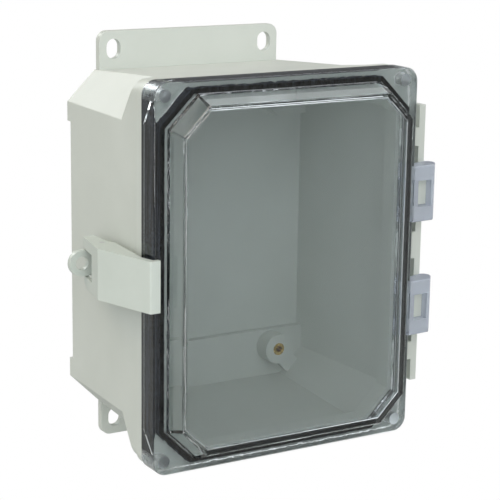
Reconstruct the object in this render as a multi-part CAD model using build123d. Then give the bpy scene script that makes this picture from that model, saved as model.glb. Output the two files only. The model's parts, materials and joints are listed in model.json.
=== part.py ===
from build123d import *
import os
from math import cos, radians, tan

# Moulded wall enclosure with a clear hinged cover, a raised octagonal window and a draw latch.
# Millimetres. X points right, Y points back to the wall, Z points up. The origin is on the
# mounting plane, midway between the four slots in the feet, and the front faces -Y.

# Moulded body
body_depth = 105.8           # mounting plane to the front rim
rim_width = 169.4
rim_height = 218.4
side_draft = 2.36            # degrees, left and right walls
end_draft = 3.8              # degrees, top and bottom walls
wall = 3.3
top_flat_half = 62.5         # the corner chamfer meets the top wall this far from the middle
side_flat_half = 84.5        # and the side wall this far from the middle
cavity_inset = 0.5           # the same edges inside the cavity lie this much nearer
corner_block_depth = 28.0    # square corners behind the rim, before they slant to the chamfer
rim_band_depth = 7.5
rim_band_proud = 0.5
corner_radius = 8.5
edge_radius = 1.2
recess_depth = 4.7           # middle of the back, set in from the mounting plane
recess_half = 73.0
platform_thickness = 13.3    # solid strips at the top and bottom of the back
platform_half = 69.5
land_thickness = 3.0         # ledge inside the rim that the gasket presses on
rim_lip_thickness = 2.4      # lip on the ledge, inside the gasket
rim_lip_gap = 0.9            # to the gasket, so that the gasket swings clear of it
rim_lip_depth = 7.0          # its top, behind the cover's flat front

# Feet
foot_thickness = 4.5
foot_half_width = 61.4
foot_reach = 125.2
foot_radius = 6.0
slot_spacing_x = 104.0
slot_spacing_z = 229.0
slot_width = 9.2
slot_length = 11.9

# Panel bosses and their threaded inserts
boss_spacing_x = 108.0
boss_spacing_z = 160.0
boss_diameter = 19.2
boss_height = 11.5
web_width = 11.0
web_height = 6.0
insert_diameter = 8.0
insert_length = 10.0
insert_bore = 4.2
insert_groove = 0.5

# Clear cover
cover_gap = 0.3              # skirt to rim, with the cover shut
skirt_depth = 14.7
skirt_wall = 4.3
skirt_proud_side = 1.3       # beyond the rim, left and right
skirt_proud_end = 0.8        # beyond the rim, top and bottom
flange_thickness = 3.0
window_rise = 12.7
window_shell = 3.0
window_base = (156.2, 206.4, 18.3)    # width, height and corner leg where it leaves the flange
window_face = (149.6, 196.0, 15.9)    # the same at its front face
window_radius = 2.0
window_inner_radius = 1.5
corner_leg = 19.5            # the skirt's inside is an octagon, so the four corners are solid
corner_hole_inset = 7.3
corner_hole_diameter = 7.2

# Gasket, glued under the flange
gasket_gap = 0.3             # to the skirt
gasket_width = 2.6

# Hinge
pin_inset = 1.0              # hinge axis, in from the rail's outer face
hinge_axis_depth = 9.7       # behind the cover's flat front
pin_diameter = 3.0
pin_clearance = 0.05
pin_length = 30.0
knuckle_radius = 4.4
knuckle_middle = 34.6        # height of each knuckle block from the middle of the cover
knuckle_height = 33.4
knuckle_root = 9.0
knuckle_front = 1.2          # depth of the block's front corner
knuckle_edge_radius = 0.8
lug_height = 15.3
lug_radius = 3.0
lug_side_gap = 0.3
strip_gap = 0.3
corner_share = 0.93          # of the way from the cover to the axis: the block's front corner,
opening_shares = (0.2, 0.81)  # the opening in its front
neck_shares = (0.44, 0.73)   # and the neck of the lug inside it
rail_reach = 103.5
rail_half_length = 85.0
rail_side_depth = 15.0
rail_slope_depth = 36.0
rail_bar = 4.3
rail_wall_gap = 2.4
pocket_depth = 9.6
tooth_start = 60.5
tooth_end = 71.6
middle_tooth_half = 8.2

# Latch. Depths are measured back from the cover's flat front.
latch_half_height = 14.6
latch_shell = 2.5
lip_tip_x = 83.7
lip_gap = 0.3
lip_thickness = 3.0
lip_radius = 1.2
latch_front_x = 89.8
ridge_x = 101.5
ridge_depth = 37.5
tail_x = 95.2
tail_depth = 69.0
tail_inner_x = 88.5
side_step_x = 88.0
side_step_depth = 51.3
side_near_x = 85.9
side_near_depth = 47.1
skirt_clearance = 0.7
claw_inner_x = 89.1
claw_inner_depth = 8.1
claw_solid_depth = 12.0
lever_slot_half = 8.0
lever_slot_start = 50.5
tail_radius = 9.0
link_pin_x = 90.0
link_pin_depth = 27.0
lever_pin_x = 92.3
lever_pin_depth = 51.0
latch_pin_diameter = 3.0
link_half_height = 4.6
link_eye_radius = 3.0
bracket_base = 2.0
bracket_half_height = 11.4
bracket_front = 23.5
bracket_rear = 73.0
ear_gap = 0.3
ear_thickness = 2.4
ear_radius = 3.6
ring_x = 98.0
ring_depth = 66.5
ring_radius = 7.5
ring_hole = 8.0
ring_thickness = 3.5
screw_diameter = 3.8
screw_clearance = 0.1
screw_head_gap = 0.2         # under the head, because the wall leans
screw_head = 7.0
screw_head_height = 2.4
screw_boss = 6.4
screw_boss_height = 4.4
screw_half_height = 7.9
screw_depths = (34.5, 58.0)

cover_front = -(body_depth + cover_gap + skirt_depth)
rim = -body_depth
cover_width = rim_width + 2 * skirt_proud_side
cover_height = rim_height + 2 * skirt_proud_end
hinge_axis_x = rail_reach - pin_inset
hinge_span = hinge_axis_x - cover_width / 2


def moved_in(size, inset):
    """Width, height and corner leg of an octagon after all eight sides move in."""
    return size[0] - 2 * inset, size[1] - 2 * inset, size[2] - inset * (2 - 2 ** 0.5)


skirt_inside = (cover_width - 2 * skirt_wall, cover_height - 2 * skirt_wall, corner_leg)
gasket_outside = moved_in(skirt_inside, gasket_gap)
rim_lip_outside = moved_in(gasket_outside, gasket_width + rim_lip_gap)
rim_lip_inside = moved_in(rim_lip_outside, rim_lip_thickness)


def depth(distance):
    """Y of a point that lies this far behind the cover's flat front."""
    return cover_front + distance


def half_width(y):
    return rim_width / 2 - (y + body_depth) * tan(radians(side_draft))


def half_height(y):
    return rim_height / 2 - (y + body_depth) * tan(radians(end_draft))


def facing(y):
    """Sketch plane at Y, with sketch x along +X and sketch y along +Z."""
    return Plane(origin=(0, y, 0), x_dir=(1, 0, 0), z_dir=(0, -1, 0))


def plan(z):
    """Sketch plane at height Z, with sketch x along +X and sketch y along +Y."""
    return Plane(origin=(0, 0, z), x_dir=(1, 0, 0), z_dir=(0, 0, 1))


def block(x0, x1, y0, y1, z0, z1):
    centre = ((x0 + x1) / 2, (y0 + y1) / 2, (z0 + z1) / 2)
    return Pos(*centre) * Box(abs(x1 - x0), abs(y1 - y0), abs(z1 - z0))


def rod(radius, x, y, z0, z1):
    """Cylinder along Z."""
    return Pos(x, y, (z0 + z1) / 2) * Cylinder(radius, abs(z1 - z0))


def stud(radius, x, z, y0, y1):
    """Cylinder along Y."""
    return Pos(x, (y0 + y1) / 2, z) * Rot(90, 0, 0) * Cylinder(radius, abs(y1 - y0))


def octagon(y, half_x, half_z, flat_x, flat_z):
    """Octagon at Y whose corners run from (flat_x, half_z) to (half_x, flat_z)."""
    points = [(half_x, flat_z), (flat_x, half_z), (-flat_x, half_z), (-half_x, flat_z),
              (-half_x, -flat_z), (-flat_x, -half_z), (flat_x, -half_z), (half_x, -flat_z)]
    return facing(y) * make_face(Polyline(*points, close=True))


def leg_octagon(y, size):
    """Octagon at Y of a width, a height and a corner leg."""
    half_x = size[0] / 2
    half_z = size[1] / 2
    return octagon(y, half_x, half_z, half_x - size[2], half_z - size[2])


def ring(y0, y1, size, width):
    """Straight octagonal ring between two depths."""
    outer = extrude(leg_octagon(y0, size), y0 - y1)
    return outer - extrude(leg_octagon(y0, moved_in(size, width)), y0 - y1)


def body_section(y, inset=0.0, shift=0.0):
    """Octagonal section of the body, or of its cavity when inset by the wall."""
    return octagon(y, half_width(y) - inset, half_height(y) - inset,
                   top_flat_half - shift, side_flat_half - shift)


def make_shell():
    """Drafted octagonal box that widens to full square corners behind the rim."""
    tub = loft([body_section(0), body_section(rim)], ruled=True)
    block_back = rim + corner_block_depth
    corners = loft([facing(y) * Rectangle(2 * half_width(y), 2 * half_height(y))
                    for y in (block_back, rim)], ruled=True)
    corners = fillet(corners.edges().filter_by(lambda e: abs(e.center().X) > top_flat_half
                                               and abs(e.center().Z) > side_flat_half),
                     corner_radius - rim_band_proud)
    middle_x = (top_flat_half + half_width(block_back)) / 2
    middle_z = (side_flat_half + half_height(block_back)) / 2
    for side in (-1, 1):
        for end in (-1, 1):
            slant = Plane(origin=(side * middle_x, block_back, end * middle_z),
                          z_dir=(side, 2 ** 0.5, end))
            corners = split(corners, slant, keep=Keep.BOTTOM)
    band = facing(rim) * RectangleRounded(rim_width + 2 * rim_band_proud,
                                          rim_height + 2 * rim_band_proud, corner_radius)
    shell = tub + corners + extrude(band, -rim_band_depth)
    back_edges = shell.edges().filter_by(lambda e: e.center().Y > rim + corner_block_depth
                                         and e.center().Y < -1 and e.length > body_depth / 2)
    return fillet(back_edges, edge_radius)


def make_cavity():
    """Hollow of the body: deeper in the middle, with raised strips at the top and bottom."""
    floor = -(recess_depth + wall)
    hollow = loft([body_section(floor, wall, cavity_inset),
                   body_section(rim, wall, cavity_inset)], ruled=True)
    for end in (-1, 1):
        hollow -= block(-rim_width, rim_width, -platform_thickness, 0,
                        end * platform_half, end * rim_height)
    hollow -= extrude(facing(rim) * Rectangle(rim_width, rim_height), -land_thickness)
    return hollow + extrude(leg_octagon(rim, rim_lip_inside), -land_thickness)


def make_feet():
    """Plates that carry the slots above and below the box."""
    outline = RectangleRounded(2 * foot_half_width, 2 * foot_reach, foot_radius)
    feet = extrude(facing(0) * outline, foot_thickness)
    feet -= block(-rim_width, rim_width, -body_depth, 1, -recess_half, recess_half)
    for x in (-slot_spacing_x / 2, slot_spacing_x / 2):
        for z in (-slot_spacing_z / 2, slot_spacing_z / 2):
            slot = SlotOverall(slot_length, slot_width, rotation=90)
            feet -= extrude(facing(1) * Pos(x, z) * slot, foot_thickness + 2)
    return feet


def boss_places():
    return [(side * boss_spacing_x / 2, end * boss_spacing_z / 2)
            for end in (1, -1) for side in (-1, 1)]


def make_bosses():
    """Panel bosses on the raised strips, each with a web out to its corner."""
    bosses = []
    root = -(recess_depth + wall / 2)
    for x, z in boss_places():
        bosses.append(stud(boss_diameter / 2, x, z, -platform_thickness - boss_height, root))
        side = 1 if x > 0 else -1
        end = 1 if z > 0 else -1
        reach = boss_diameter
        web = Pos(x + side * reach / 2, 0, z + end * reach / 2) * Rot(0, -45 * side * end, 0)
        height = platform_thickness + web_height
        bosses.append(web * Pos(0, -height / 2, 0) * Box(reach * 2 ** 0.5, height, web_width))
    return bosses


def make_inserts():
    """Threaded brass inserts, one in each boss, with a knurl groove round the middle."""
    face = -platform_thickness - boss_height
    inserts = []
    for x, z in boss_places():
        insert = stud(insert_diameter / 2, x, z, face, face + insert_length)
        insert -= stud(insert_bore / 2, x, z, face - 1, face + insert_length + 1)
        middle = face + insert_length / 2
        groove = stud(insert_diameter, x, z, middle - 1, middle + 1)
        groove -= stud(insert_diameter / 2 - insert_groove, x, z, middle - 1, middle + 1)
        inserts.append(insert - groove)
    return inserts


def make_rail():
    """Hinge rail on the right wall: an outer bar, cross teeth and two lugs for the pins."""
    face = rim
    outline = Polyline((half_width(rim) - wall / 2, face), (rail_reach, face),
                       (rail_reach, face + rail_side_depth),
                       (half_width(rim) - wall / 2, face + rail_slope_depth), close=True)
    rail = extrude(plan(-rail_half_length) * make_face(outline), 2 * rail_half_length)
    pocket_start = half_width(rim) + rim_band_proud + rail_wall_gap
    pocket_end = rail_reach - rail_bar
    stops = [(middle_tooth_half, knuckle_middle - lug_height / 2),
             (knuckle_middle + lug_height / 2, tooth_start),
             (tooth_end, rail_half_length + 1)]
    for low, high in stops:
        for end in (-1, 1):
            rail -= block(pocket_start, pocket_end, face - 1, face + pocket_depth,
                          end * low, end * high)
    return rail


def make_lug(middle):
    """Barrel on the rail that the hinge pin passes through, on a bent neck."""
    axis = depth(hinge_axis_depth)
    low = middle - lug_height / 2
    high = middle + lug_height / 2
    face = rim
    lug = rod(lug_radius, hinge_axis_x, axis, low, high)
    left, right = [cover_width / 2 + share * hinge_span for share in neck_shares]
    lug += block(left, hinge_axis_x, axis - lug_radius, axis, low, high)
    return lug + block(left, right, axis - lug_radius, face + 1, low, high)


def hinge_bore(middle, radius):
    axis = depth(hinge_axis_depth)
    return rod(radius, hinge_axis_x, axis, middle - pin_length / 2, middle + pin_length / 2)


def wall_face(distance):
    """X of the left wall's outer face, this far behind the cover's flat front."""
    return -half_width(depth(distance))


def screw_places():
    return [(distance, end * screw_half_height) for distance in screw_depths for end in (-1, 1)]


def cross_stud(radius, x0, x1, distance, z):
    """Cylinder along X."""
    return Pos((x0 + x1) / 2, depth(distance), z) * Rot(0, 90, 0) * Cylinder(radius, abs(x1 - x0))


def make_body():
    body = make_shell() + make_rail()
    body -= block(-rim_width, rim_width, -recess_depth, 1, -recess_half, recess_half)
    body += make_feet()
    body -= make_cavity()
    body += ring(rim + land_thickness / 2, depth(rim_lip_depth), rim_lip_outside, rim_lip_thickness)
    keep_inside = loft([body_section(0, wall / 2), body_section(rim, wall / 2)], ruled=True)
    for boss in make_bosses():
        body += boss & keep_inside
    for x, z in boss_places():
        face = -platform_thickness - boss_height
        body -= stud(insert_diameter / 2, x, z, face - 1, face + insert_length)
    for middle in (knuckle_middle, -knuckle_middle):
        body += make_lug(middle)
        body -= hinge_bore(middle, pin_diameter / 2 + pin_clearance)
    for distance, z in screw_places():
        x = wall_face(distance)
        body -= cross_stud(screw_diameter / 2 + screw_clearance, x - 1, x + wall + 2, distance, z)
    return body


def make_window():
    """Raised octagonal window, solid, and its hollow."""
    front = cover_front - window_rise
    raised = loft([leg_octagon(cover_front + 1, window_base), leg_octagon(cover_front, window_base),
                   leg_octagon(front, window_face)], ruled=True)
    raised = fillet(raised.faces().sort_by(Axis.Y)[0].edges(), window_radius)
    base_inside = moved_in(window_base, window_shell)
    face_inside = moved_in(window_face, window_shell)
    hollow = loft([leg_octagon(cover_front + flange_thickness, base_inside),
                   leg_octagon(cover_front, base_inside),
                   leg_octagon(front + window_shell, face_inside)], ruled=True)
    hollow = fillet(hollow.faces().sort_by(Axis.Y)[0].edges(), window_inner_radius)
    return raised, hollow


def make_knuckle(middle):
    """Clear hinge block: a flat front, a barrel at the end and an opening for the lug."""
    axis = depth(hinge_axis_depth)
    edge = cover_width / 2
    corner_x = edge + corner_share * hinge_span
    arm = Polyline((edge - 1, depth(0)), (edge, depth(0)), (corner_x, depth(knuckle_front)),
                   (edge, depth(knuckle_root)), (edge - 1, depth(knuckle_root)), close=True)
    barrel = Pos(hinge_axis_x, axis) * CenterArc((0, 0), knuckle_radius, 0, 360)
    outline = make_hull([*arm.edges(), *barrel.edges()])
    knuckle = extrude(plan(middle - knuckle_height / 2) * outline, knuckle_height)
    ends = [knuckle.faces().sort_by(Axis.Z)[0], knuckle.faces().sort_by(Axis.Z)[-1]]
    rims = [e for face in ends for e in face.edges() if e.center().X > edge]
    knuckle = fillet(rims, knuckle_edge_radius)
    low = middle - lug_height / 2 - lug_side_gap
    high = middle + lug_height / 2 + lug_side_gap
    turning = lug_radius + strip_gap
    left, right = [edge + share * hinge_span for share in opening_shares]
    back = depth(2 * hinge_axis_depth)
    knuckle -= block(left, right, depth(-1), back, low, high)
    knuckle -= block(right, hinge_axis_x + turning * cos(radians(45)), axis - turning, back, low, high)
    return knuckle - rod(turning, hinge_axis_x, axis, low, high)


def make_cover():
    """Clear cover: flange, skirt with solid corners, raised window and knuckles."""
    outline = facing(depth(skirt_depth)) * RectangleRounded(cover_width, cover_height, corner_radius)
    cover = extrude(outline, skirt_depth)
    cover = fillet(cover.faces().sort_by(Axis.Y)[0].edges(), edge_radius)
    cover -= extrude(leg_octagon(depth(skirt_depth), skirt_inside), skirt_depth - flange_thickness)
    for x in (-1, 1):
        for z in (-1, 1):
            cover -= stud(corner_hole_diameter / 2, x * (cover_width / 2 - corner_hole_inset),
                          z * (cover_height / 2 - corner_hole_inset),
                          depth(flange_thickness), depth(skirt_depth + 1))
    raised, hollow = make_window()
    cover += raised
    cover -= hollow
    for middle in (knuckle_middle, -knuckle_middle):
        cover += make_knuckle(middle)
        cover -= hinge_bore(middle, pin_diameter / 2 + pin_clearance)
    return cover


def make_gasket():
    return ring(rim, depth(flange_thickness), gasket_outside, gasket_width)


def lever_outline():
    """Side view of the lever: lip, outer face, ridge, tail and the edge beside the wall."""
    return Polyline((-lip_tip_x, depth(-lip_gap)), (-lip_tip_x, depth(-lip_gap - lip_thickness)),
                    (-latch_front_x, depth(-lip_gap - lip_thickness)),
                    (-ridge_x, depth(ridge_depth)), (-tail_x, depth(tail_depth)),
                    (-tail_inner_x, depth(tail_depth)), (-side_step_x, depth(side_step_depth)),
                    (-side_near_x, depth(side_near_depth)),
                    (-claw_inner_x, depth(claw_inner_depth)),
                    (-(cover_width / 2 + skirt_clearance), depth(-lip_gap)), close=True)


def outer_x(distance):
    """X of the lever's outer face, this far behind the cover's flat front."""
    if distance < ridge_depth:
        start = -lip_gap - lip_thickness
        share = (distance - start) / (ridge_depth - start)
        return -latch_front_x - share * (ridge_x - latch_front_x)
    share = (distance - ridge_depth) / (tail_depth - ridge_depth)
    return -ridge_x + share * (ridge_x - tail_x)


def make_lever():
    """One moulded lever: hook over the cover, hollow behind, slot for the padlock ring."""
    low = -latch_half_height
    lever = extrude(plan(low) * make_face(lever_outline()), 2 * latch_half_height)
    tail = tail_depth + 1
    hollow = Polyline((0, depth(claw_solid_depth)),
                      (outer_x(claw_solid_depth) + latch_shell, depth(claw_solid_depth)),
                      (-ridge_x + latch_shell, depth(ridge_depth)),
                      (outer_x(tail) + latch_shell, depth(tail)), (0, depth(tail)), close=True)
    inner = latch_half_height - latch_shell
    lever -= extrude(plan(-inner) * make_face(hollow), 2 * inner)
    lever -= block(-ridge_x - 1, 0, depth(lever_slot_start), depth(tail),
                   -lever_slot_half, lever_slot_half)
    front = lever.edges().filter_by(Axis.Z).sort_by(Axis.Y)[:3]
    lever = fillet([e for e in front if e.center().X < -lip_tip_x - 1], lip_radius)
    tail_cut = block(-ridge_x - 1, 0, depth(tail_depth - tail_radius), depth(tail),
                     low - 1, low + tail_radius)
    tail_cut -= cross_stud(tail_radius, -ridge_x - 1, 0, tail_depth - tail_radius,
                           low + tail_radius)
    lever -= tail_cut
    return lever - rod(latch_pin_diameter / 2 + pin_clearance, -lever_pin_x,
                       depth(lever_pin_depth), low - 1, -low + 1)


def make_link():
    """Link inside the lever, from the bracket's pin to the lever's pin."""
    eyes = [(-link_pin_x, depth(link_pin_depth)), (-lever_pin_x, depth(lever_pin_depth))]
    outline = make_hull([edge for x, y in eyes
                         for edge in (Pos(x, y) * CenterArc((0, 0), link_eye_radius, 0, 360)).edges()])
    link = extrude(plan(-link_half_height) * outline, 2 * link_half_height)
    for x, y in eyes:
        link -= rod(latch_pin_diameter / 2 + pin_clearance, x, y,
                    -link_half_height - 1, link_half_height + 1)
    return link


def make_bracket():
    """Bracket on the left wall: base, two ears for the link pin, screw bosses, padlock ring."""
    top = bracket_half_height
    foot = Polyline((wall_face(bracket_front), depth(bracket_front)),
                    (wall_face(bracket_front) - bracket_base, depth(bracket_front)),
                    (wall_face(bracket_rear) - bracket_base, depth(bracket_rear)),
                    (wall_face(bracket_rear), depth(bracket_rear)), close=True)
    bracket = extrude(plan(-top) * make_face(foot), 2 * top)
    inner = link_half_height + ear_gap
    base_x = wall_face(link_pin_depth) - bracket_base / 2
    ear = Pos(-link_pin_x, depth(link_pin_depth)) * Circle(ear_radius)
    ear += Pos((base_x - link_pin_x) / 2, depth(link_pin_depth)) * Rectangle(
        base_x + link_pin_x, 2 * ear_radius)
    for low in (-inner - ear_thickness, inner):
        bracket += extrude(plan(low) * ear, ear_thickness)
    stem_x = wall_face(ring_depth) - bracket_base / 2
    eye = Pos(-ring_x, 0) * Circle(ring_radius)
    eye += Pos((stem_x - ring_x) / 2, 0) * Rectangle(stem_x + ring_x, 2 * ring_radius)
    eye -= Pos(-ring_x, 0) * Circle(ring_hole / 2)
    bracket += extrude(facing(depth(ring_depth) + ring_thickness / 2) * eye, ring_thickness)
    for distance, z in screw_places():
        x = wall_face(distance)
        bracket += cross_stud(screw_boss / 2, x - screw_boss_height, x - bracket_base / 2, distance, z)
        bracket -= cross_stud(screw_diameter / 2 + screw_clearance,
                              x - screw_boss_height + 1, x + 1, distance, z)
    return bracket - rod(latch_pin_diameter / 2 + pin_clearance, -link_pin_x,
                         depth(link_pin_depth), -top, top)


def make_screws():
    """Four screws from inside the box into the bracket."""
    screws = []
    for distance, z in screw_places():
        outer = wall_face(distance)
        inner = outer + wall / cos(radians(side_draft)) + screw_head_gap
        screw = cross_stud(screw_diameter / 2, outer - screw_boss_height + 1 + screw_clearance,
                           inner + screw_head_height, distance, z)
        screw += cross_stud(screw_head / 2, inner, inner + screw_head_height, distance, z)
        screws.append(screw)
    return screws


def make_parts():
    parts = {"enclosure_body": make_body(), "cover": make_cover(), "gasket": make_gasket()}
    names = ("insert_upper_left", "insert_upper_right", "insert_lower_left", "insert_lower_right")
    for name, insert in zip(names, make_inserts()):
        parts[name] = insert
    for name, middle in (("hinge_pin_upper", knuckle_middle), ("hinge_pin_lower", -knuckle_middle)):
        parts[name] = hinge_bore(middle, pin_diameter / 2)
    parts["latch_bracket"] = make_bracket()
    parts["bracket_screws"] = Compound(children=make_screws())
    reach = link_half_height + ear_gap + ear_thickness
    parts["link_pin"] = rod(latch_pin_diameter / 2, -link_pin_x, depth(link_pin_depth), -reach, reach)
    parts["latch_link"] = make_link()
    parts["latch_lever"] = make_lever()
    parts["lever_pin"] = rod(latch_pin_diameter / 2, -lever_pin_x, depth(lever_pin_depth),
                             -latch_half_height, latch_half_height)
    return parts


os.makedirs("parts", exist_ok=True)
for name, shape in make_parts().items():
    export_step(shape, f"parts/{name}.step")
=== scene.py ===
import bpy
import json
from mathutils import Matrix, Vector


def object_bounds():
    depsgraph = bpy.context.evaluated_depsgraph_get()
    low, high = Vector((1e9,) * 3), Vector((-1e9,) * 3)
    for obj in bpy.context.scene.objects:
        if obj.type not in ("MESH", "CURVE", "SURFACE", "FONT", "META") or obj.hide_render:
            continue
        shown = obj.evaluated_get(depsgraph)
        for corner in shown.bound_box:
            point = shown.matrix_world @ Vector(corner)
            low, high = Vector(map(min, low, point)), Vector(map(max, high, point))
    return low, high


# Wall enclosure with a clear hinged cover: finishes, light and camera.
# Everything is in metres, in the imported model's own frame. The front faces -Y.

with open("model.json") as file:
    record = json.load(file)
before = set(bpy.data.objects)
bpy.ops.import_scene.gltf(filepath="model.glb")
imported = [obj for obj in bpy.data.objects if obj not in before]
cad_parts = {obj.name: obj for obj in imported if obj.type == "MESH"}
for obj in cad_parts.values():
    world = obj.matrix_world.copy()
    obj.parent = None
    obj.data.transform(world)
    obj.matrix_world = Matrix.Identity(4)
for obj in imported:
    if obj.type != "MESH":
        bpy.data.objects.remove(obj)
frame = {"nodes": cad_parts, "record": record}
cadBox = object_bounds()
nodes = frame["nodes"]
print("frame loaded:", len(nodes), "nodes")


def newMaterial(name):
    mat = bpy.data.materials.new(name)
    mat.use_nodes = True
    tree = mat.node_tree
    tree.nodes.clear()
    out = tree.nodes.new("ShaderNodeOutputMaterial")
    return mat, tree, out


def addNode(tree, kind, inputs=None, **settings):
    node = tree.nodes.new(kind)
    for key, value in settings.items():
        setattr(node, key, value)
    for key, value in (inputs or {}).items():
        node.inputs[key].default_value = value
    return node


def objectCoords(tree):
    return addNode(tree, "ShaderNodeTexCoord").outputs["Object"]


def mathOf(tree, operation, first, second):
    node = addNode(tree, "ShaderNodeMath", operation=operation)
    for socket, value in zip(node.inputs, (first, second)):
        if isinstance(value, (int, float)):
            socket.default_value = value
        else:
            tree.links.new(value, socket)
    return node.outputs["Value"]


def noiseOf(tree, coords, scale, detail=3.0, roughness=0.5):
    noise = addNode(tree, "ShaderNodeTexNoise",
                    {"Scale": scale, "Detail": detail, "Roughness": roughness})
    tree.links.new(coords, noise.inputs["Vector"])
    return noise.outputs["Fac"]


def stretchedNoise(tree, coords, stretch, detail):
    mapping = addNode(tree, "ShaderNodeMapping", {"Scale": stretch})
    tree.links.new(coords, mapping.inputs["Vector"])
    return noiseOf(tree, mapping.outputs["Vector"], 1.0, detail)


def rampOf(tree, value, low, high, stops=(0.3, 0.7)):
    ramp = addNode(tree, "ShaderNodeValToRGB")
    for element, stop, colour in zip(ramp.color_ramp.elements, stops, (low, high)):
        element.position = stop
        element.color = (*colour, 1)
    tree.links.new(value, ramp.inputs["Fac"])
    return ramp.outputs["Color"]


def rangeOf(tree, value, limits):
    spread = addNode(tree, "ShaderNodeMapRange", {"To Min": limits[0], "To Max": limits[1]})
    tree.links.new(value, spread.inputs["Value"])
    return spread.outputs["Result"]


def bumpOf(tree, height, strength, distance, below=None):
    bump = addNode(tree, "ShaderNodeBump", {"Strength": strength, "Distance": distance})
    tree.links.new(height, bump.inputs["Height"])
    if below is not None:
        tree.links.new(below, bump.inputs["Normal"])
    return bump.outputs["Normal"]


def mixOf(tree, share, first, second):
    mix = addNode(tree, "ShaderNodeMixShader")
    for socket, value in zip(mix.inputs, (share, first, second)):
        tree.links.new(value, socket)
    return mix.outputs["Shader"]


# Moulded plastic: cloudy colour, fine orange-peel skin and a slightly uneven gloss.
bodyLook = {"dark": (0.585, 0.615, 0.570), "light": (0.630, 0.658, 0.615), "ior": 1.5,
            "cloudScale": 22.0, "cloudDetail": 4.0, "rough": (0.42, 0.56),
            "skinScale": 1100.0, "skinDetail": 2.0, "skinStrength": 0.35, "skinDepth": 0.00002}

# The latch is the same plastic, a little deeper in colour and glossier.
latchLook = {**bodyLook, "dark": (0.560, 0.606, 0.560), "light": (0.598, 0.642, 0.597),
             "cloudScale": 40.0, "rough": (0.34, 0.46), "skinScale": 2200.0, "skinDepth": 0.00003}


def mouldedPlastic(name, look):
    mat, tree, out = newMaterial(name)
    coords = objectCoords(tree)
    cloud = noiseOf(tree, coords, look["cloudScale"], look["cloudDetail"])
    skin = noiseOf(tree, coords, look["skinScale"], look["skinDetail"])
    shader = addNode(tree, "ShaderNodeBsdfPrincipled", {"IOR": look["ior"]})
    tree.links.new(rampOf(tree, cloud, look["dark"], look["light"]), shader.inputs["Base Color"])
    tree.links.new(rangeOf(tree, cloud, look["rough"]), shader.inputs["Roughness"])
    tree.links.new(bumpOf(tree, skin, look["skinStrength"], look["skinDepth"]),
                   shader.inputs["Normal"])
    tree.links.new(shader.outputs["BSDF"], out.inputs["Surface"])
    return mat


# Where each finish lies on the cover. The skirt's inside is an octagon: halfWidth, halfHeight
# and cornerSum (|x| + |z| on its slanted corners) give its sides.
coverPlaces = {
    "halfWidth": 0.0817, "halfHeight": 0.1057, "cornerSum": 0.1679,
    # The next two lines bound the near-black band on the skirt's inside: pressed foam, and beyond
    # it painted shade of the gap behind the skirt.
    "foamAndShadeReach": 0.0029, "foamAndShadeSlack": 0.00008,  # inward and outward of the octagon
    "flangeBack": -0.11785, "foamAndShadeBack": -0.1070,      # the y range where foam is pressed on
    "flatFront": -0.12075, "flatReach": 0.0040,       # the flat front round the window
    "coverSide": 0.0861,                              # the hinge knuckles lie beyond it
    "markX": 0.0787, "markZ": 0.1027, "markRadius": 0.0039,
    "cornerReach": 0.0115,                            # how far out the solid corners begin
}


# How far a point lies outside the octagon, in all and at its slanted corners alone.
def beyondOctagon(tree, acrossX, acrossZ, places):
    sideways = mathOf(tree, "SUBTRACT", acrossX, places["halfWidth"])
    upward = mathOf(tree, "SUBTRACT", acrossZ, places["halfHeight"])
    overSum = mathOf(tree, "SUBTRACT", mathOf(tree, "ADD", acrossX, acrossZ), places["cornerSum"])
    slanted = mathOf(tree, "MULTIPLY", overSum, 0.5 ** 0.5)  # square to the 45 degree corner
    beyond = mathOf(tree, "MAXIMUM", mathOf(tree, "MAXIMUM", sideways, upward), slanted)
    return beyond, slanted


def coverMasks(tree, coords, places):
    place = addNode(tree, "ShaderNodeSeparateXYZ")
    tree.links.new(coords, place.inputs["Vector"])
    depth = place.outputs["Y"]
    acrossX = mathOf(tree, "ABSOLUTE", place.outputs["X"], 0.0)
    acrossZ = mathOf(tree, "ABSOLUTE", place.outputs["Z"], 0.0)
    beyond, slanted = beyondOctagon(tree, acrossX, acrossZ, places)

    # foam and shade: the skirt's inner faces and the flange's underside, near black as pressed foam
    # and, deeper in, as painted shade of the gap behind the skirt
    foamAndShade = mathOf(tree, "GREATER_THAN", beyond, -places["foamAndShadeReach"])
    for operation, value, limit in (("LESS_THAN", beyond, places["foamAndShadeSlack"]),
                                    ("GREATER_THAN", depth, places["flangeBack"]),
                                    ("LESS_THAN", depth, places["foamAndShadeBack"])):
        foamAndShade = mathOf(tree, "MULTIPLY", foamAndShade, mathOf(tree, operation, value, limit))

    flat = mathOf(tree, "MULTIPLY", mathOf(tree, "GREATER_THAN", beyond, -places["flatReach"]),
                  mathOf(tree, "LESS_THAN", depth, places["flatFront"]))
    knuckle = mathOf(tree, "GREATER_THAN", place.outputs["X"], places["coverSide"])

    # mark: the round marks in the corners, behind the flat front
    awayX = mathOf(tree, "POWER", mathOf(tree, "SUBTRACT", acrossX, places["markX"]), 2.0)
    awayZ = mathOf(tree, "POWER", mathOf(tree, "SUBTRACT", acrossZ, places["markZ"]), 2.0)
    inside = mathOf(tree, "LESS_THAN", mathOf(tree, "ADD", awayX, awayZ), places["markRadius"] ** 2)
    mark = mathOf(tree, "MULTIPLY", inside,
                  mathOf(tree, "GREATER_THAN", depth, places["flatFront"]))

    corner = mathOf(tree, "GREATER_THAN", slanted, places["cornerReach"])
    return {"foamAndShade": foamAndShade, "flat": flat, "knuckle": knuckle, "mark": mark, "corner": corner}


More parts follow.
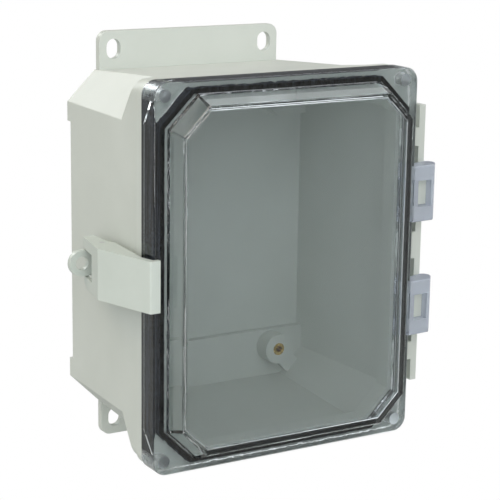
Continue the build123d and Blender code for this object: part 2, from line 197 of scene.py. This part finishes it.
# Clear polycarbonate: polished, faintly cool, with very fine handling smudges. The flat front
# and the hinge knuckles have a fine moulded texture, the round marks are matt, the solid
# corners sparkle and the knuckles are hazy.
clearLook = {"tint": (0.875, 0.915, 0.950, 1), "ior": 1.58, "shadowTint": (0.65, 0.68, 0.675, 1),
             "smudgeScale": 700.0, "smudgeDetail": 6.0, "smudgeRoughness": 0.7,
             "polish": (0.010, 0.032), "matte": 0.10, "markMatte": 0.4,
             "waveScale": 9.0, "waveDetail": 1.0, "waveStrength": 0.25, "waveDepth": 0.00001,
             "grainScale": 1500.0, "grainDetail": 2.0, "grainStrength": 0.5,
             "grainDepth": 0.000008,
             "sparkScale": 260.0, "sparkDetail": 2.0, "sparkStrength": 0.6, "sparkDepth": 0.0006,
             "haze": (0.66, 0.70, 0.80, 1), "hazeShare": 0.42}

# Pressed foam seen through the clear plastic, and painted shade of the gap behind it: dark cells
# with long pale streaks.
foamAndShadeLook = {"dark": (0.0006, 0.0007, 0.0012), "light": (0.060, 0.072, 0.098),
               "stops": (0.36, 0.76), "cellScale": 800.0, "cellDetail": 4.0,
               "cellRoughness": 0.7, "streakScale": (420.0, 420.0, 22.0), "streakDetail": 3.0,
               "streakGain": 2.0}


def polishedShader(tree, coords, masks, look):
    shader = addNode(tree, "ShaderNodeBsdfPrincipled",
                     {"Base Color": look["tint"], "IOR": look["ior"], "Transmission Weight": 1.0})
    textured = mathOf(tree, "MAXIMUM", masks["flat"], masks["knuckle"])
    smudges = noiseOf(tree, coords, look["smudgeScale"], look["smudgeDetail"],
                      look["smudgeRoughness"])
    matte = mathOf(tree, "ADD", mathOf(tree, "MULTIPLY", textured, look["matte"]),
                   mathOf(tree, "MULTIPLY", masks["mark"], look["markMatte"]))
    tree.links.new(mathOf(tree, "ADD", rangeOf(tree, smudges, look["polish"]), matte),
                   shader.inputs["Roughness"])
    wave = noiseOf(tree, coords, look["waveScale"], look["waveDetail"])
    grain = mathOf(tree, "MULTIPLY",
                   noiseOf(tree, coords, look["grainScale"], look["grainDetail"]), textured)
    spark = mathOf(tree, "MULTIPLY",
                   noiseOf(tree, coords, look["sparkScale"], look["sparkDetail"]),
                   mathOf(tree, "SUBTRACT", masks["corner"], masks["flat"]))
    skin = None
    for kind, height in (("wave", wave), ("grain", grain), ("spark", spark)):
        skin = bumpOf(tree, height, look[kind + "Strength"], look[kind + "Depth"], skin)
    tree.links.new(skin, shader.inputs["Normal"])
    return shader.outputs["BSDF"]


# One dark speckle paints both the pressed foam and the painted shade of the gap behind the skirt.
def foamAndPaintedShade(tree, coords, look):
    cells = noiseOf(tree, coords, look["cellScale"], look["cellDetail"], look["cellRoughness"])
    streaks = stretchedNoise(tree, coords, look["streakScale"], look["streakDetail"])
    speckle = mathOf(tree, "MULTIPLY", cells,
                     mathOf(tree, "MULTIPLY", streaks, look["streakGain"]))
    foam = addNode(tree, "ShaderNodeBsdfDiffuse")
    tree.links.new(rampOf(tree, speckle, look["dark"], look["light"], look["stops"]),
                   foam.inputs["Color"])
    return foam.outputs["BSDF"]


def clearPlastic(name, look):
    mat, tree, out = newMaterial(name)
    coords = objectCoords(tree)
    masks = coverMasks(tree, coords, coverPlaces)
    haze = addNode(tree, "ShaderNodeBsdfDiffuse", {"Color": look["haze"]})
    misted = mixOf(tree, mathOf(tree, "MULTIPLY", masks["knuckle"], look["hazeShare"]),
                   polishedShader(tree, coords, masks, look), haze.outputs["BSDF"])
    # shadow rays pass the cover, so that light reaches the inside
    through = addNode(tree, "ShaderNodeBsdfTransparent", {"Color": look["shadowTint"]})
    path = addNode(tree, "ShaderNodeLightPath")
    glass = mixOf(tree, path.outputs["Is Shadow Ray"], misted, through.outputs["BSDF"])
    # near-black band on the skirt's inside: pressed foam, and painted shade of the gap behind the
    # skirt
    cover = mixOf(tree, masks["foamAndShade"], glass, foamAndPaintedShade(tree, coords, foamAndShadeLook))
    tree.links.new(cover, out.inputs["Surface"])
    return mat


# Foam gasket: near black, open fine cells.
gasketLook = {"dark": (0.006, 0.006, 0.007), "light": (0.020, 0.020, 0.022), "ior": 1.45,
              "cloudScale": 120.0, "cloudDetail": 3.0, "rough": (0.60, 0.85),
              "cellScale": 900.0, "cellStrength": 0.5, "cellDepth": 0.00018}


def foamRubber(name, look):
    mat, tree, out = newMaterial(name)
    coords = objectCoords(tree)
    cells = addNode(tree, "ShaderNodeTexVoronoi", {"Scale": look["cellScale"]})
    tree.links.new(coords, cells.inputs["Vector"])
    cloud = noiseOf(tree, coords, look["cloudScale"], look["cloudDetail"])
    shader = addNode(tree, "ShaderNodeBsdfPrincipled", {"IOR": look["ior"]})
    tree.links.new(rampOf(tree, cloud, look["dark"], look["light"]), shader.inputs["Base Color"])
    tree.links.new(rangeOf(tree, cloud, look["rough"]), shader.inputs["Roughness"])
    tree.links.new(bumpOf(tree, cells.outputs["Distance"], look["cellStrength"],
                          look["cellDepth"]), shader.inputs["Normal"])
    tree.links.new(shader.outputs["BSDF"], out.inputs["Surface"])
    return mat


# Turned metals: fine lines, round the steel pins and along the brass inserts.
steelLook = {"dark": (0.42, 0.42, 0.43), "light": (0.62, 0.62, 0.63), "rough": (0.22, 0.38),
             "stretch": (30.0, 30.0, 2600.0), "lineDetail": 2.0, "lineStrength": 0.2,
             "lineDepth": 0.00003}
brassLook = {**steelLook, "dark": (0.50, 0.30, 0.05), "light": (0.95, 0.66, 0.20),
             "rough": (0.16, 0.34), "stretch": (500.0, 40.0, 500.0)}


def turnedMetal(name, look):
    mat, tree, out = newMaterial(name)
    lines = stretchedNoise(tree, objectCoords(tree), look["stretch"], look["lineDetail"])
    shader = addNode(tree, "ShaderNodeBsdfPrincipled", {"Metallic": 1.0})
    tree.links.new(rampOf(tree, lines, look["dark"], look["light"]), shader.inputs["Base Color"])
    tree.links.new(rangeOf(tree, lines, look["rough"]), shader.inputs["Roughness"])
    tree.links.new(bumpOf(tree, lines, look["lineStrength"], look["lineDepth"]),
                   shader.inputs["Normal"])
    tree.links.new(shader.outputs["BSDF"], out.inputs["Surface"])
    return mat


materials = {
    "moulded_body": mouldedPlastic("bodyPlastic", bodyLook),
    "moulded_latch": mouldedPlastic("latchPlastic", latchLook),
    "clear_plastic": clearPlastic("clearCover", clearLook),
    "seal_rubber": foamRubber("foamGasket", gasketLook),
    "insert_brass": turnedMetal("insertBrass", brassLook),
    "pin_steel": turnedMetal("pinSteel", steelLook),
}

slotOfNode = {part["node"]: part["material_slot"] for part in frame["record"]["subparts"]}


def dress(node):
    slot = slotOfNode[node.name]
    node.data.materials.clear()
    node.data.materials.append(materials[slot])
    for face in node.data.polygons:
        face.use_smooth = False


for node in nodes.values():
    dress(node)
print("finishes on:", len(materials))


# Floor and sky. The camera sees plain white; everything else is lit by a soft sky that is
# brighter in front and above. The gloss mirrors only a share of that sky.
studio = {"floorDrop": 0.10, "floorSize": 14.0, "floorBack": 2.0, "floorCloud": 3.0,
          "floorDark": (0.50, 0.51, 0.50), "floorLight": (0.54, 0.55, 0.54),
          "skyLean": (0.0, -0.28, 0.26), "skyMiddle": 0.5,
          "skyLow": (0.16, 0.17, 0.18), "skyHigh": (1.15, 1.16, 1.16), "mirroredSky": 0.32}


def seenWhite(tree, shader):
    path = addNode(tree, "ShaderNodeLightPath")
    white = addNode(tree, "ShaderNodeEmission", {"Color": (1, 1, 1, 1), "Strength": 1.0})
    return mixOf(tree, path.outputs["Is Camera Ray"], shader, white.outputs["Emission"])


def makeSky(look):
    world = bpy.data.worlds.new("paleRoom")
    bpy.context.scene.world = world
    world.use_nodes = True
    tree = world.node_tree
    tree.nodes.clear()
    out = tree.nodes.new("ShaderNodeOutputWorld")
    lean = addNode(tree, "ShaderNodeVectorMath", {1: look["skyLean"]}, operation="DOT_PRODUCT")
    coords = addNode(tree, "ShaderNodeTexCoord").outputs["Generated"]
    tree.links.new(coords, lean.inputs[0])
    level = mathOf(tree, "ADD", lean.outputs["Value"], look["skyMiddle"])
    path = addNode(tree, "ShaderNodeLightPath")
    dimmed = mathOf(tree, "MULTIPLY", path.outputs["Is Glossy Ray"], 1.0 - look["mirroredSky"])
    sky = addNode(tree, "ShaderNodeBackground")
    tree.links.new(mathOf(tree, "SUBTRACT", 1.0, dimmed), sky.inputs["Strength"])
    tree.links.new(rampOf(tree, level, look["skyLow"], look["skyHigh"], (0.0, 1.0)),
                   sky.inputs["Color"])
    tree.links.new(seenWhite(tree, sky.outputs["Background"]), out.inputs["Surface"])


def makeFloor(look):
    place = (0, look["floorBack"], cadBox[0].z - look["floorDrop"])
    bpy.ops.mesh.primitive_plane_add(size=look["floorSize"], location=place)
    floor = bpy.context.object
    floor.name = "paleFloor"
    mat, tree, out = newMaterial("floorPaint")
    cloud = noiseOf(tree, objectCoords(tree), look["floorCloud"])
    paint = addNode(tree, "ShaderNodeBsdfDiffuse")
    tree.links.new(rampOf(tree, cloud, look["floorDark"], look["floorLight"]),
                   paint.inputs["Color"])
    tree.links.new(seenWhite(tree, paint.outputs["BSDF"]), out.inputs["Surface"])
    floor.data.materials.append(mat)


# Soft boxes, turned to the origin where no aim is given. With spread off they only draw
# highlights on the cover's edges; with mirrored off the cover shows no picture of them.
coolWhite = (0.95, 0.99, 1.0)
softBoxes = {
    "keyLight": {"place": (-0.72, 0.20, 0.92), "size": (0.5, 0.5), "power": 1.7,
                 "colour": (1.0, 0.80, 0.48), "mirrored": False},
    "sideLight": {"place": (-1.30, -0.78, -0.15), "size": (0.35, 1.1), "power": 3.8,
                  "colour": (0.93, 0.98, 1.0), "mirrored": False},
    "frontLight": {"place": (-0.62, -1.5, 0.66), "size": (1.0, 0.8), "power": 8.2,
                   "colour": (0.96, 0.99, 0.97)},
    "leftEdge": {"place": (-1.20, -0.72, -0.35), "size": (0.12, 1.2), "power": 4.2,
                 "colour": coolWhite, "spread": False},
    "topEdge": {"place": (0.72, -0.30, 1.18), "size": (1.0, 0.6), "power": 2.4,
                "colour": coolWhite, "spread": False},
    "cornerEdge": {"place": (-0.65, -0.75, 1.05), "size": (0.6, 0.6), "power": 5.5,
                   "colour": (1.0, 0.88, 0.80), "spread": False},
    "backEdge": {"place": (0.60, 0.52, 0.90), "size": (0.8, 0.8), "power": 2.2,
                 "colour": coolWhite, "spread": False},
    "lowEdge": {"place": (0.06, -0.09, -0.215), "size": (0.30, 0.25), "power": 0.14,
                "colour": coolWhite, "spread": False, "aim": (0, -0.12, -0.11)},
    "cornerGlint": {"place": (-0.35, 1.25, 0.75), "size": (0.5, 0.5), "power": 5.5,
                    "colour": coolWhite, "spread": False},
}


def softBox(name, look):
    data = bpy.data.lights.new(name, "AREA")
    data.shape = "RECTANGLE"
    data.size, data.size_y = look["size"]
    data.energy = look["power"]
    data.color = look["colour"]
    lamp = bpy.data.objects.new(name, data)
    bpy.context.scene.collection.objects.link(lamp)
    lamp.visible_diffuse = look.get("spread", True)
    lamp.visible_glossy = look.get("mirrored", True)
    lamp.visible_transmission = look.get("mirrored", True)
    lamp.location = look["place"]
    towards = Vector(look.get("aim", (0, 0, 0))) - Vector(look["place"])
    lamp.rotation_mode = "QUATERNION"
    lamp.rotation_quaternion = towards.to_track_quat("-Z", "Y")


makeSky(studio)
makeFloor(studio)
for name, look in softBoxes.items():
    softBox(name, look)
print("floor and light set:", len(softBoxes), "soft boxes")


# Camera: where the photograph was taken from
cameraLook = {
    "place": (-0.4985, -0.9045, 0.2291), "lens": 121.7, "sensor": 36.0, "clip": (0.02, 50.0),
    "right": (0.85793, -0.51356, 0.01444),
    "up": (0.10567, 0.20390, 0.97327),
    "forward": (0.50278, 0.83348, -0.22920),
}


def makeCamera(look):
    data = bpy.data.cameras.new("photoCamera")
    data.lens = look["lens"]
    data.sensor_width = look["sensor"]
    data.sensor_fit = "HORIZONTAL"
    data.clip_start, data.clip_end = look["clip"]
    camera = bpy.data.objects.new("photoCamera", data)
    bpy.context.scene.collection.objects.link(camera)
    right, up, forward = (Vector(look[key]) for key in ("right", "up", "forward"))
    turn = Matrix((right, up, -forward)).transposed()
    camera.matrix_world = Matrix.Translation(look["place"]) @ turn.to_4x4()
    bpy.context.scene.camera = camera


makeCamera(cameraLook)
bpy.context.scene.view_settings.view_transform = "Standard"
print("camera set")
